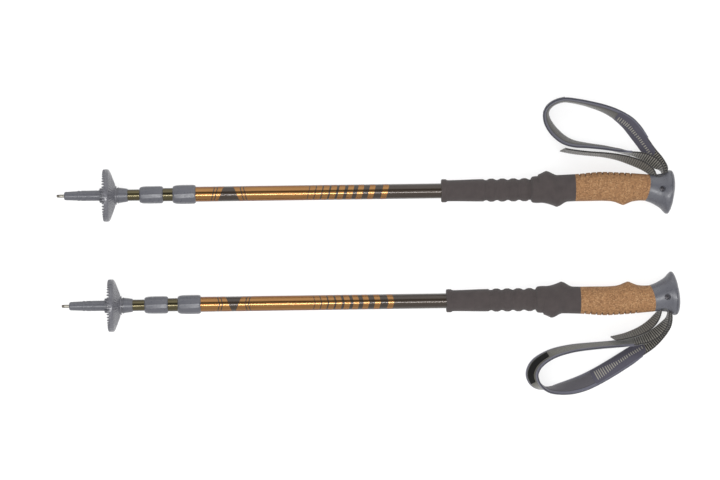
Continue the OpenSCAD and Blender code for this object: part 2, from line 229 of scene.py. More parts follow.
class Finish(Nodes):
    """A material, with the nodes that make its colour, gloss and relief."""

    def __init__(self, name, roughness=0.5, metallic=0.0, **constants):
        self.material = bpy.data.materials.new(name)
        self.material.use_nodes = True
        super().__init__(self.material.node_tree)
        self.shader = self.tree.nodes["Principled BSDF"]
        self.shader.inputs["Roughness"].default_value = roughness
        self.shader.inputs["Metallic"].default_value = metallic
        for key, value in constants.items():
            self.shader.inputs[key.replace("_", " ")].default_value = value
        self.place = self.tree.nodes.new("ShaderNodeTexCoord").outputs["Object"]

    def wave(self, place, length):
        """A sine along a place that counts millimetres."""
        return self.math("SINE", self.math("MULTIPLY", place, 2 * math.pi / length))

    def span(self, value, low, high, start=0.0, end=1.0):
        """value from low to high, carried smoothly to start to end."""
        made = self.node(
            "MapRange",
            {"Value": value, "From Min": low, "From Max": high, "To Min": start, "To Max": end},
            interpolation_type="SMOOTHSTEP",
        )
        return made.outputs["Result"]

    def stretched(self, scale):
        return self.node("Mapping", {"Vector": self.place, "Scale": scale}).outputs["Vector"]

    def noise(self, per_mm, detail=3.0, roughness=0.55, place=None):
        """Noise with per_mm swells in a millimetre."""
        made = self.node(
            "TexNoise",
            {"Vector": place or self.place, "Scale": per_mm / MM, "Detail": detail, "Roughness": roughness},
        )
        return made.outputs["Fac"]

    def cells(self, per_mm, feature="F1", output="Distance"):
        made = self.node("TexVoronoi", {"Vector": self.place, "Scale": per_mm / MM}, feature=feature)
        return made.outputs[output]

    def own(self, name):
        """A number that the mesh stores for each point."""
        return self.node("Attribute", {}, attribute_name=name, attribute_type="GEOMETRY").outputs["Fac"]

    def pole(self, side):
        """u, y and z of the pole's own frame, in millimetres."""
        tip = Vector((TIP_X[side], AXIS_Y[side], TIP_Z)) * MM
        own = self.node(
            "Mapping",
            {"Vector": self.place, "Location": tip, "Rotation": (ROLL[side], TILT, 0), "Scale": (MM, MM, MM)},
            vector_type="TEXTURE",
        )
        return self.node("SeparateXYZ", {0: own.outputs["Vector"]}).outputs

    def mix(self, factor, a, b, blend="MIX"):
        made = self.node("Mix", {"Factor": factor}, data_type="RGBA", blend_type=blend)
        self.feed(made.inputs[6], a)
        self.feed(made.inputs[7], b)
        return made.outputs[2]

    def bump(self, height, depth_mm, strength=1.0, under=None):
        values = {"Height": height, "Distance": depth_mm * MM, "Strength": strength}
        if under is not None:
            values["Normal"] = under
        return self.node("Bump", values).outputs["Normal"]

    def finish(self, colour, normal=None, roughness=None):
        self.feed(self.shader.inputs["Base Color"], colour)
        if normal is not None:
            self.feed(self.shader.inputs["Normal"], normal)
        if roughness is not None:
            self.feed(self.shader.inputs["Roughness"], roughness)
        return self.material


STUDIO_LIGHT = 1.8  # how far a white floor stands above screen white under the studio's light


def paint(red, green, blue):
    """The linear colour that shows as a screen colour from 0 to 255 under the studio's light."""
    linear = [((c / 255 + 0.055) / 1.055) ** 2.4 if c > 10 else c / 255 / 12.92 for c in (red, green, blue)]
    return (*[c / STUDIO_LIGHT for c in linear], 1)


def moulded_plastic(name, light, dark, grain=2.2, roughness=0.3):
    """Moulded plastic with a fine spark-eroded grain, clouded colour and scuffs."""
    f = Finish(name, IOR=1.5)
    clouds = f.noise(0.05, 4)
    scuffs = f.noise(0.9, 6, 0.7, f.stretched((0.35, 1, 1)))
    colour = f.mix(clouds, dark, light)
    colour = f.mix(f.span(scuffs, 0.62, 0.74, 0, 0.35), colour, paint(170, 172, 178))
    gloss = f.span(f.noise(0.3), 0.3, 0.7, roughness - 0.05, roughness + 0.1)
    relief = f.bump(f.noise(grain, 2), 0.008, 0.2)
    return f.finish(colour, relief, gloss)


CLEAR_OXIDE = {"metallic": 1.0, "Coat_Weight": 0.85, "Coat_Roughness": 0.13}  # the skin of both kinds of tube


def draw_marks(f):
    """Faint lines along a drawn tube."""
    return f.noise(1.4, 3, 0.6, f.stretched((0.02, 1, 1)))


def anodised_tube(name, light, dark, tint, roughness=0.18):
    """Drawn and anodised aluminium with faint lines along the tube."""
    f = Finish(name, Specular_Tint=tint, **CLEAR_OXIDE)
    draw_lines = draw_marks(f)
    scratches = f.noise(2.5, 4, 0.7, f.stretched((0.03, 1, 1)))
    colour = f.mix(f.span(draw_lines, 0.3, 0.7), dark, light)
    gloss = f.span(scratches, 0.3, 0.75, roughness - 0.01, roughness + 0.01)
    relief = f.bump(draw_lines, 0.002, 0.04)
    return f.finish(colour, relief, gloss)


# The print on the upper tube. Its chevrons point to the grip, and each dark one is wider than the last.
CHEVRON_U = 268.1
CHEVRON_WIDTH = 0.83
CHEVRON_GROWTH = 1.33
CHEVRON_GAP = 6.0
CHEVRON_COUNT = 9
CHEVRON_SLANT = 3.0  # how far it falls back in a quarter turn from its point
CHEVRON_POINT = {"left": math.radians(222), "right": math.radians(90)}
PIN_STRIPES = (166.7, 170.0, 194.0, 197.4)  # two pairs beside the dark panel, and the second pair points back
PIN_STRIPE_WIDTH = 1.1
PRINT_END_U = 440.0  # under the foam grip
PANEL_U = 182.2
PANEL_HALF = 11.5  # half its length at its longest, which is near the nose side
PANEL_TAPER = 3.0  # what its half length loses in radians of turn
PANEL_TURN = math.radians(-30)


def printed_tube(side):
    """Gold anodising with a dark print that slants round the tube."""
    f = Finish(f"{side}_printed_gold", Specular_Tint=paint(150, 104, 60), **CLEAR_OXIDE)
    u, y, z = f.pole(side)
    turn = f.math("ARCTAN2", z, y)

    def away(angle):
        """How far round the tube a point is from an angle."""
        return f.math("ARCCOSINE", f.math("COSINE", f.math("SUBTRACT", turn, angle)))

    back = f.math("MULTIPLY", away(CHEVRON_POINT[side]), CHEVRON_SLANT / (math.pi / 2))
    forward_u = f.math("ADD", u, back)
    backward_u = f.math("SUBTRACT", u, back)

    def stripes(place, spans):
        """1 inside any of the spans and 0 between them."""
        found = 0.0
        for start, end in spans:
            middle, half = (start + end) / 2, (end - start) / 2
            inside = f.node("Math", {0: place, 1: middle, 2: half}, operation="COMPARE").outputs[0]
            found = f.math("MAXIMUM", found, inside)
        return found

    pins = [(at, at + PIN_STRIPE_WIDTH) for at in PIN_STRIPES]
    spans = pins[:2]
    at, width = CHEVRON_U, CHEVRON_WIDTH
    for _ in range(CHEVRON_COUNT):
        spans.append((at, at + width))
        at += width + CHEVRON_GAP
        width *= CHEVRON_GROWTH
    spans.append((at, PRINT_END_U))
    dark = f.math("MAXIMUM", stripes(forward_u, spans), stripes(backward_u, pins[2:]))
    half = f.math("SUBTRACT", PANEL_HALF, f.math("MULTIPLY", away(PANEL_TURN), PANEL_TAPER))
    panel = f.math("LESS_THAN", f.math("ABSOLUTE", f.math("SUBTRACT", u, PANEL_U)), half)
    dark = f.math("MAXIMUM", dark, panel)

    draw_lines = draw_marks(f)
    gold = f.mix(f.span(draw_lines, 0.3, 0.7), paint(166, 112, 46), paint(184, 130, 60))
    ink = f.mix(f.noise(0.8, 4), paint(50, 41, 33), paint(68, 58, 49))
    worn = f.span(f.noise(1.2, 6, 0.75, f.stretched((0.3, 1, 1))), 0.7, 0.78, 0, 0.3)
    f.feed(f.shader.inputs["Metallic"], f.math("SUBTRACT", 1.0, f.math("MULTIPLY", dark, 0.75)))
    gloss = f.math("ADD", f.span(f.noise(0.5, 3), 0.3, 0.7, 0.185, 0.195), f.math("MULTIPLY", dark, 0.05))
    relief = f.bump(draw_lines, 0.002, 0.04, f.bump(dark, 0.02, 0.3))
    return f.finish(f.mix(dark, gold, f.mix(worn, ink, gold)), relief, gloss)


def grip_foam():
    """Closed-cell EVA foam, ground to shape: a matt skin of fine open cells."""
    f = Finish("grip_foam", roughness=0.92, Sheen_Weight=0.08, Sheen_Roughness=0.5)
    clouds = f.noise(0.12, 4)
    pores = f.cells(1.9)
    colour = f.mix(clouds, paint(66, 58, 58), paint(88, 79, 78))
    # Painted shade: the open cells are painted dark, as the shade down in them.
    colour = f.mix(f.span(pores, 0.0, 0.28, 0.45, 0.0), colour, paint(40, 34, 34))
    relief = f.bump(f.span(pores, 0.0, 0.5), 0.1, 0.6, f.bump(f.noise(0.7, 3), 0.15, 0.4))
    return f.finish(colour, relief)


CORK_GRAINS_PER_MM = 0.85


def grip_cork():
    """Pressed cork granules of many browns, with dark seams, and painted shade in its pits and cross grooves.
    """
    f = Finish("grip_cork", roughness=0.8)
    warp = f.node("TexNoise", {"Vector": f.place, "Scale": 500.0, "Detail": 2.0})
    moved = f.node("Mix", {"Factor": 0.0011}, data_type="VECTOR")
    f.feed(moved.inputs[4], f.place)
    f.feed(moved.inputs[5], warp.outputs["Color"])
    bent = moved.outputs[1]
    cells = {"Vector": bent, "Scale": CORK_GRAINS_PER_MM / MM}
    grains = f.node("TexVoronoi", cells)
    seams = f.node("TexVoronoi", cells, feature="DISTANCE_TO_EDGE")
    tone = f.node("SeparateColor", {0: grains.outputs["Color"]}).outputs[0]
    colour = f.ramp(
        tone,
        [
            (0.0, paint(142, 100, 62)),
            (1.0, paint(212, 168, 118)),
            (0.22, paint(168, 121, 77)),
            (0.5, paint(184, 135, 87)),
            (0.8, paint(197, 148, 98)),
        ],
    )
    colour = f.mix(f.span(f.noise(2.4, 4, 0.7), 0.35, 0.7, 0, 0.3), colour, paint(146, 98, 60))
    gap = f.span(seams.outputs["Distance"], 0.0, 0.09, 1.0, 0.0)
    colour = f.mix(f.math("MULTIPLY", gap, 0.45), colour, paint(104, 66, 38))
    pits = f.span(f.noise(1.0, 5, 0.65), 0.62, 0.68)
    # Painted shade: the pits are painted dark brown, as the shade down in them.
    colour = f.mix(f.math("MULTIPLY", pits, 0.6), colour, paint(84, 50, 28))
    # Painted shade: the cross grooves are painted dark brown, as the shade down in them.
    colour = f.mix(f.math("MULTIPLY", f.own("cut"), 0.85), colour, paint(52, 30, 18))
    relief = f.bump(gap, -0.12, 0.5, f.bump(pits, -0.25, 0.7, f.bump(f.noise(3.0, 3), 0.05, 0.5)))
    return f.finish(colour, relief)


RIB_PITCH = 2.4


def band_relief(f, pitch):
    """Cross ribs along a woven band, from its stored length, as a wave from 0 to 1."""
    return f.math("ADD", f.math("MULTIPLY", f.wave(f.own("along"), pitch), 0.5), 0.5)


def woven_webbing(side, tail_from):
    """Ribbed webbing: pale and black cross ribs by the head, and an even grey-brown weave further out."""
    f = Finish(f"{side}_ribbed_webbing", roughness=0.85, Sheen_Weight=0.35, Sheen_Roughness=0.4)
    u = f.pole(side)[0]
    ribs = band_relief(f, RIB_PITCH)
    threads = f.wave(f.own("across"), 0.55)
    on_tail = f.span(f.own("along"), tail_from, tail_from + 12.0, 1.0, 0.4)
    near_head = f.math("MULTIPLY", f.span(u, 590.0, 616.0), on_tail)
    pale = f.mix(near_head, paint(106, 102, 92), paint(164, 159, 148))
    deep = f.mix(near_head, paint(74, 70, 63), paint(20, 19, 20))
    colour = f.mix(f.span(ribs, 0.4, 0.65), deep, pale)
    edge = f.span(f.math("ABSOLUTE", f.own("across")), 6.9, 7.6)
    colour = f.mix(f.math("MULTIPLY", edge, 0.9), colour, paint(34, 32, 33))
    colour = f.mix(f.span(f.noise(1.6, 4), 0.35, 0.7, 0, 0.3), colour, paint(48, 44, 42))
    fuzz = f.noise(5.0, 3)
    relief = f.bump(threads, 0.05, 0.4, f.bump(fuzz, 0.08, 0.4))
    return f.finish(colour, relief)


# One lining cloth for both poles, painted lighter and warmer on the left pole and darker and bluer on the
# right: painted light and shade.
LINING_AS_LIT = {
    "left": (paint(84, 82, 80), paint(112, 109, 103)),
    "right": (paint(74, 72, 78), paint(100, 97, 104)),
}
SEAM_AT = 6.6  # how far from its middle the wrist band is sewn along its length


def pad_cloth(side):
    """The wrist band's cloth: a ribbed grey outer face, a soft blue-grey inner face, and bound edges."""
    f = Finish(f"{side}_pad_cloth", roughness=0.9, Sheen_Weight=0.4, Sheen_Roughness=0.45)
    ribs = band_relief(f, 1.3)
    across = f.math("ABSOLUTE", f.own("across"))
    threads = f.wave(across, 0.7)
    mottle = f.noise(1.4, 4, 0.6)
    face = f.mix(f.span(ribs, 0.3, 0.7), paint(86, 84, 76), paint(120, 117, 105))
    lining = f.mix(mottle, *LINING_AS_LIT[side])
    colour = f.mix(f.span(f.own("inside"), 0.4, 0.6), face, lining)
    border = f.mix(mottle, paint(96, 96, 110), paint(120, 120, 134))
    colour = f.mix(f.span(across, SEAM_AT - 0.3, SEAM_AT + 0.1), colour, border)
    # Painted shade: the two sunken long seams are painted dark, as the shade in their crease.
    seam = f.span(f.math("ABSOLUTE", f.math("SUBTRACT", across, SEAM_AT)), 0.1, 0.55, 0.7, 0.0)
    colour = f.mix(seam, colour, paint(44, 43, 50))
    colour = f.mix(f.span(across, 9.3, 9.8, 0, 0.85), colour, paint(48, 48, 58))
    relief = f.bump(ribs, 0.12, 0.5, f.bump(threads, 0.06, 0.4, f.bump(f.noise(4.5, 3), 0.08, 0.4)))
    return f.finish(colour, relief)


def plain_cloth(name, light, dark, rib=0.8, roughness=0.8, sheen=0.3):
    """A small woven piece with fine ribs."""
    f = Finish(name, roughness=roughness, Sheen_Weight=sheen, Sheen_Roughness=0.4, Specular_IOR_Level=0.2)
    ribs = band_relief(f, rib)
    colour = f.mix(f.noise(1.8, 4), dark, light)
    return f.finish(colour, f.bump(ribs, 0.08, 0.5, f.bump(f.noise(5.0, 2), 0.06, 0.4)))


def bare_metal(name, light, dark, roughness=0.3):
    """Ground or drawn metal with turning lines and dull patches."""
    f = Finish(name, metallic=1.0)
    patches = f.noise(0.6, 5)
    colour = f.mix(patches, dark, light)
    gloss = f.span(f.noise(1.5, 5, 0.7), 0.3, 0.7, roughness - 0.08, roughness + 0.15)
    return f.finish(colour, f.bump(f.noise(4.0, 2, 0.5, f.stretched((3, 1, 1))), 0.01, 0.4), gloss)


GREY_PLASTIC = moulded_plastic("grey_moulding", paint(110, 111, 119), paint(96, 97, 105))
GREY = {"material": GREY_PLASTIC, "slot": "grey_plastic"}
BASKET_PLASTIC = moulded_plastic("basket_moulding", paint(124, 124, 131), paint(110, 110, 117), 1.6, 0.24)
OLIVE_METAL = anodised_tube("olive_anodising", paint(100, 90, 46), paint(80, 70, 34), paint(110, 100, 60))
FOAM = grip_foam()
CORK = grip_cork()
STEEL = bare_metal("ground_steel", paint(196, 192, 182), paint(150, 146, 138))
# Painted shade: the pin's steel is painted dark for the shade it sits in, down its countersunk hole.
PIN_STEEL = bare_metal("shade_darkened_steel", paint(120, 118, 122), paint(84, 82, 88), 0.4)
CARBIDE = bare_metal("sintered_carbide", paint(140, 134, 122), paint(86, 80, 72), 0.4)
BRASS = bare_metal("turned_brass", paint(206, 168, 96), paint(160, 124, 62))
NYLON = moulded_plastic("natural_nylon", paint(226, 222, 208), paint(204, 199, 184))
DARK_PLASTIC = moulded_plastic("dark_nylon", paint(48, 48, 52), paint(34, 34, 38))
LABEL_CLOTH = plain_cloth("label_weave", paint(17, 17, 18), paint(9, 9, 10), sheen=0.02)
TONGUE_CLOTH = plain_cloth("tongue_weave", paint(104, 102, 114), paint(80, 78, 90), 0.9, 0.88)
STITCH_THREAD = plain_cloth("stitch_thread", paint(188, 184, 172), paint(160, 156, 146), 0.4, 0.7)

# The CAD nodes of a pole that stay, each with a better material.
KEPT_NODES = {"carbide_tip": CARBIDE, "tip_ferrule": STEEL, "strap_wedge": DARK_PLASTIC}
for lock in ("lower", "middle"):
    KEPT_NODES |= {f"{lock}_plug": NYLON, f"{lock}_cone_nut": BRASS, f"{lock}_expander": DARK_PLASTIC}

# ---------------------------------------------------------------- tubes, flex tip, collars

UPPER_R, MIDDLE_R, LOWER_R = 8.0, 7.0, 6.0
TUBE_WALL = 0.8
FLEX_U, FLEX_END_U = 7.9, 75.2
BASKET_U, HUB_LENGTH = 45.4, 20.0
LOWER_SPAN = (67.0, 470.0)
MIDDLE_SPAN = (92.2, 540.0)
UPPER_SPAN = (127.4, 627.7)
LOWER_COLLAR = (87.7, 24.9, 9.2)  # where it starts, its length and its radius
UPPER_COLLAR = (122.9, 24.4, 10.1)


def shaft(side, name, body, span, radius, **options):
    """A drawn tube with its end edges broken."""
    start, end = span
    inner, edge = radius - TUBE_WALL, 0.15
    outline = [
        (inner, start + edge), (inner + edge, start), (radius - edge, start), (radius, start + edge),
        (radius, end - edge), (radius - edge, end), (inner + edge, end), (inner, end - edge),
    ]
    turned(side, name, body, outline, **options)


def flex_tip(side):
    """The tapered flexible tip, with its ridge, the basket's seat and the collar behind it."""
    nose, hub_back, shaft_start = FLEX_U, BASKET_U + HUB_LENGTH, LOWER_SPAN[0]
    outline = [
        (1.77, nose), (3.2, nose), (3.7, nose + 0.2), (4.1, nose + 0.6), (4.4, nose + 1.2), (4.55, nose + 2),
        (4.95, 19.8), (4.98, 21.6), (5.1, 22.2), (5.4, 22.5), (5.45, 22.8), (5.45, 24.1), (5.4, 24.4),
        (5.12, 24.8), (5.1, 25.8), (5.2, 26.1), (5.45, 26.3), (5.5, 26.6), (5.5, 31), (5.32, 31.3),
        (5.32, 31.8), (5.5, 32.1), (5.5, BASKET_U - 0.6), (6.0, BASKET_U - 0.6), (6.0, hub_back),
        (7.9, hub_back), (8.15, hub_back + 0.15), (8.2, hub_back + 0.5), (8.15, hub_back + 0.9),
        (7.05, FLEX_END_U - 0.9), (6.9, FLEX_END_U - 0.35), (6.6, FLEX_END_U), (6.1, FLEX_END_U),
        (6.02, FLEX_END_U - 0.2), (6.02, shaft_start), (5.18, shaft_start), (5.18, 84.0), (4.4, 85.0),
        (0.01, 85.0), (0.01, 20.5), (1.77, 20.5),
    ]
    turned(side, "tapered_flex_tip", "lower_section", outline, stands_for="flex_tip", **GREY)


def collar(side, name, body, spec, bore, node):
    """A tapered collar with soft flats all round, which turn a little along it."""
    start, length, radius = spec
    flats, twist = 12, math.radians(9)
    profile = smooth_curve([
        (0.0, 0.77), (0.35, 0.83), (1.0, 0.885), (2.2, 0.935), (4.0, 0.972), (6.5, 0.99), (length * 0.5, 1.0),
        (length - 3.2, 1.0), (length - 2.0, 0.99), (length - 1.0, 0.955), (length - 0.3, 0.9), (length, 0.84),
    ])
    rings = []
    for along in [0, 0.15, 0.35, 0.6, 1, 1.5, 2.2, 3, 4] + steps(5, length - 4, 1.0) + [
        length - d for d in (3.2, 2.6, 2, 1.5, 1, 0.6, 0.3, 0.1, 0)
    ]:
        flatness = ease(along, 0.6, 4.5) * ease(length - along, 0.2, 2.0)
        ring = []
        for angle in angles(192):
            turn = (angle + twist * along / length) % (2 * math.pi / flats) - math.pi / flats
            flat = math.cos(math.pi / flats) / math.cos(turn) * 1.012
            soft = min(flat, 1.0)
            r = radius * profile(along) * (1 + (soft - 1) * flatness)
            ring.append((start + along, r * math.cos(angle), r * math.sin(angle)))
        rings.append(ring)
    sleeve(side, name, body, rings, bore, stands_for=node, sharp=50, **GREY)


# ---------------------------------------------------------------- basket

RIM_R = 27.9
RIM_TEETH = 48
TOOTH_DEPTH = 2.3
RIB_HEIGHT = 0.2
HUB_LUGS = 12
# A lug's sections: how far behind the hub's front, its low and high side, and half the angle it takes up.
LUG_SECTIONS = ((0.0, 6.2, 7.2, 0.05), (0.5, 6.1, 7.8, 0.09), (5.6, 6.06, 8.05, 0.2), (6.4, 6.06, 7.8, 0.2))
BASKET_BORE = 6.06
PER_TOOTH = 8  # points round the rim


def basket(side):
    """The dish: a toothed rim, fine radial ribs on its back, and a lugged, grooved hub."""
    rim_front, rim_back = 6.2, 10.0  # from the hub's front, as all of the outline is
    cone_start, cone_end = rim_back + 0.8, 16.6
    cone_rim, cone_hub = RIM_R - 1.9, 10.6
    sides = RIM_TEETH * PER_TOOTH
    tooth_shape = (0.0, 0.0, 0.0, 0.75, 1.0, 1.0, 0.75, 0.0)
    rib_shape = (0.0, 0.15, 0.5, 0.85, 1.0, 0.85, 0.5, 0.15)
    cone_steps = [i / 8 for i in range(9)]
    points = []
    for i in range(sides):
        angle = 2 * math.pi * i / sides
        tooth = tooth_shape[i % PER_TOOTH]
        rib = rib_shape[i % PER_TOOTH] * RIB_HEIGHT
        front = rim_front - TOOTH_DEPTH * tooth
        outline = [
            (BASKET_BORE, 2.6), (6.9, 2.6), (7.1, 2.8), (7.1, 14.6), (9.2, 15.0),
            (RIM_R - 2.6, rim_front + 2.3), (RIM_R - 2.2, rim_front + 1.8), (RIM_R - 2.2, front + 0.3),
            (RIM_R - 1.9, front), (RIM_R - 0.9, front), (RIM_R - 0.5, front + 0.3),
            (RIM_R - 0.25, front + 0.8), (RIM_R, rim_front + 0.9), (RIM_R, rim_back - 1.4),
            (RIM_R - 0.25, rim_back - 0.6), (RIM_R - 0.75, rim_back + 0.1), (RIM_R - 1.3, rim_back + 0.45),
        ]
        for t in cone_steps:
            grown = rib * ease(t, 0.02, 0.1) * ease(1 - t, 0.02, 0.12)
            r = cone_rim + (cone_hub - cone_rim) * t
            u = cone_start + (cone_end - cone_start) * t
            outline.append((r + grown * 0.45, u + grown * 0.9))
        outline += [
            (10.2, 16.7), (9.95, 16.8), (9.95, 17.7), (9.8, 17.9), (8.3, 18.0), (7.9, 18.2), (7.9, 19.0),
            (8.2, 19.1), (8.7, 19.4), (8.7, HUB_LENGTH), (BASKET_BORE, HUB_LENGTH),
        ]
        points += [(BASKET_U + u, r * math.cos(angle), r * math.sin(angle)) for r, u in outline]
    faces = loft_faces(sides, len(points) // sides, closed=True)

    # The hub's front lugs are wedges that taper to the point and stand round the seat.
    for k in range(HUB_LUGS):
        mid = 2 * math.pi * (k + 0.5) / HUB_LUGS
        lug = []
        for u, low, high, half in LUG_SECTIONS:
            for r, side_turn in ((low, -half), (high, -half * 0.9), (high, half * 0.9), (low, half)):
                lug.append((BASKET_U + u, r * math.cos(mid + side_turn), r * math.sin(mid + side_turn)))
        first = len(points)
        points += lug
        faces += [tuple(first + i for i in face) for face in loft_faces(4, 4)]
    looks = {"material": BASKET_PLASTIC, "slot": "basket_plastic", "sharp": 30}
    points = placed(points, side)
    new_piece(side, "toothed_basket", "basket_body", points, faces, stands_for="basket", **looks)


# ---------------------------------------------------------------- grips

FOAM_U, CORK_U, HEAD_U = 407.7, 550.0, 627.7
FLARE_U, FLARE_RIDGE_U = 511.0, 524.2
FIRST_RIB_U, FINGER_RIB_PITCH, FINGER_RIBS = 461.0, 11.7, 4
RIDGE_SLANT, RIDGE_HEIGHT = 5.4, 5.0
RIDGE_FRONT, RIDGE_BACK = 16.0, 13.0  # how far the ridge reaches each way
NECK_R = 14.3
FOAM_END_OVAL = (13.0, 15.8, 14.0)  # nose, palm and depth where the foam meets the cork
GRIP_BORE = UPPER_R + 0.02

FOAM_RADIUS = [
    (FOAM_U, 11.5), (FOAM_U + 0.7, 12.2), (FOAM_U + 1.4, 12.3), (FOAM_U + 4.6, 12.3), (FOAM_U + 6.4, 11.4),
    (FOAM_U + 8, 11.2), (FIRST_RIB_U - 9, 11.9), (FIRST_RIB_U - 6.6, 10.9), (FIRST_RIB_U - 5, 10.8),
]
for rib_number in range(FINGER_RIBS):
    rib_u = FIRST_RIB_U + rib_number * FINGER_RIB_PITCH
    FOAM_RADIUS += [
        (rib_u - 3.2, 11.7), (rib_u - 1.2, 12.3), (rib_u + 1.2, 12.3), (rib_u + 3.2, 11.7),
        (rib_u + 5.3, 10.8), (rib_u + 6.4, 10.8),
    ]
FOAM_RADIUS += [
    (FLARE_U - 7.7, 12.4), (FLARE_U - 6.4, 13.7), (FLARE_U - 5, 14.05), (FLARE_U - 2, NECK_R),
    (FLARE_U, NECK_R),
]


def foam_ring(u, radius_at):
    """The foam's ring at u: round along the ribs, then an oval with the slanted ridge on it."""
    if u <= FLARE_U:
        return circle(u, radius_at(u), 128)
    part = (u - FLARE_U) / (CORK_U - FLARE_U)
    base = oval(u, *(NECK_R + (end - NECK_R) * part for end in FOAM_END_OVAL), 128)
    ring = []
    for _, y, z in base:
        r = math.hypot(y, z)
        past = u - FLARE_RIDGE_U - RIDGE_SLANT * y / r
        if past < 0:
            rise = max(0.0, 1 + past / RIDGE_FRONT) ** 1.6
        else:
            rise = (1 + math.cos(math.pi * min(past / RIDGE_BACK, 1.0))) / 2
        grown = (r + RIDGE_HEIGHT * rise) / r
        ring.append((u, y * grown, z * grown))
    return ring


def foam_grip(side):
    radius_at = smooth_curve(FOAM_RADIUS)
    rings = [foam_ring(u, radius_at) for u in steps(FOAM_U, CORK_U, 0.5)]
    looks = {"material": FOAM, "slot": "foam", "sharp": 55}
    foam = sleeve(side, "ribbed_foam_grip", "handle", rings, GRIP_BORE, stands_for="foam_grip", **looks)


CORK_NOSE = [
    (CORK_U, 13), (560, 13), (576, 12.9), (586, 13.3), (592, 14.4), (597, 16.4), (601, 17.7), (605, 16.3),
    (610, 14.4), (616, 13.5), (622, 13.2), (HEAD_U, 13.5),
]
CORK_PALM = [
    (CORK_U, 15.8), (558, 16.4), (566, 17.2), (578, 17.8), (592, 17.3), (605, 16.5), (617, 15.4),
    (HEAD_U, 14.5),
]
CORK_DEPTH = [(CORK_U, 14), (575, 13.6), (600, 14), (HEAD_U, 13.3)]
CORK_CUTS = [554.9 + 6.03 * k for k in range(10)]  # where the cross grooves of the palm side are
CUT_DEPTH, CUT_HALF = 1.3, 0.8  # and how deep, with half their width


def join_lean(y):
    """How far past HEAD_U the join of cork and head lies, at y towards the nose."""
    part = y / 14
    return 0.9 - 2.4 * part - 2.0 * part * part


def cork_grip(side):
    nose, palm, depth = (smooth_curve(table) for table in (CORK_NOSE, CORK_PALM, CORK_DEPTH))
    rings, cuts = [], []
    for u in steps(CORK_U, HEAD_U, 0.3):
        cut = max(max(0.0, 1 - abs(u - at) / CUT_HALF) for at in CORK_CUTS) ** 0.7
        ring = []
        for (_, y, z), angle in zip(oval(u, nose(u), palm(u), depth(u), 128), angles(128)):
            at_palm = ease(-math.cos(angle), 0.72, 0.93)
            r = math.hypot(y, z)
            shrunk = (r - CUT_DEPTH * cut * at_palm) / r
            ring.append((u + join_lean(y) * ease(u, 606, HEAD_U), y * shrunk, z * shrunk))
            cuts.append(cut * at_palm)
        rings.append(ring)
    looks = {"material": CORK, "slot": "cork", "sharp": 60}
    cork = sleeve(side, "notched_cork_grip", "handle", rings, GRIP_BORE, stands_for="cork_grip", **looks)
    store(cork, cut=cuts + [0.0] * (len(cork.data.vertices) - len(cuts)))


HEAD_NOSE = [
    (HEAD_U, 13.6), (633, 15.8), (637, 18.8), (641, 22.6), (644, 26), (646.4, 27.8), (648, 27.6), (650, 25.2),
    (652, 20.6), (654, 12.4), (655.2, 6.5), (655.8, 2),
]
HEAD_PALM = [
    (HEAD_U, 14.5), (633, 14.4), (641, 15), (645, 16.4), (648, 18.2), (651, 18.8), (653, 18), (654.6, 15.4),
    (655.4, 12.4), (655.8, 10),
]
HEAD_DEPTH = [
    (HEAD_U, 13.4), (634, 13.8), (640, 15.2), (645, 17.6), (648.5, 19), (651, 18.9), (653, 17.4), (654.6, 14),
    (655.4, 10.4), (655.8, 6),
]
HEAD_END_U = HEAD_NOSE[-1][0]
RIM_LINE_U, RIM_LINE_DEPTH = 651.6, 0.6
SLOT_U, SLOT_END_U, SLOT_HALF, SLOT_FLOOR_Y = 630.5, 647.2, 9.6, 6.0
SLOT_CORNER = 1.6
PIN_U, PIN_Y, PIN_HOLE_R = 641.0, 1.0, 2.5


def cut_away(piece, cutter):
    """Cuts one closed mesh out of another, for good."""
    carve = piece.modifiers.new("carve", "BOOLEAN")
    carve.operation = "DIFFERENCE"
    carve.solver = "EXACT"
    carve.object = cutter
    seen = piece.evaluated_get(bpy.context.evaluated_depsgraph_get())
    carved = bpy.data.meshes.new_from_object(seen)
    piece.modifiers.clear()
    piece.data = carved
    bpy.data.objects.remove(cutter)


def loose_object(name, side, rings):
    """A plain closed mesh to cut with."""
    mesh = bpy.data.meshes.new(name)
    points = placed([p for ring in rings for p in ring], side)
    mesh.from_pydata(points, [], loft_faces(len(rings), len(rings[0])))
    cutter = bpy.data.objects.new(name, mesh)
    bpy.context.collection.objects.link(cutter)
    return cutter


def slot_cutter(side):
    """A box with rounded long edges, from outside the palm side to the slot's floor."""
    corner, arc = SLOT_CORNER, [math.radians(15 * i) for i in range(7)]
    mid_u = (SLOT_U + SLOT_END_U) / 2
    half_u, half_z = (SLOT_END_U - SLOT_U) / 2 - corner, SLOT_HALF - corner
    ring = []
    for su, sz, turn in ((1, 1, 0), (-1, 1, 90), (-1, -1, 180), (1, -1, 270)):
        for a in arc:
            spin = a + math.radians(turn)
            out_u, out_z = corner * math.cos(spin), corner * math.sin(spin)
            ring.append((mid_u + su * half_u + out_u, sz * half_z + out_z))
    return loose_object("slot_cutter", side, [[(u, y, z) for u, z in ring] for y in (-40.0, SLOT_FLOOR_Y)])


def pin_ring(radius, z, sides):
    return [(PIN_U + radius * math.cos(a), PIN_Y + radius * math.sin(a), z) for a in angles(sides)]


def pin_cutter(side):
    """The pin's hole with a countersink at each end."""
    reach = 15.2
    sink = [(reach - 0.9, PIN_HOLE_R), (reach + 0.2, 3.6), (30, 5.2)]
    profile = [(-z, r) for z, r in reversed(sink)] + sink
    return loose_object("pin_cutter", side, [pin_ring(r, z, 48) for z, r in profile])


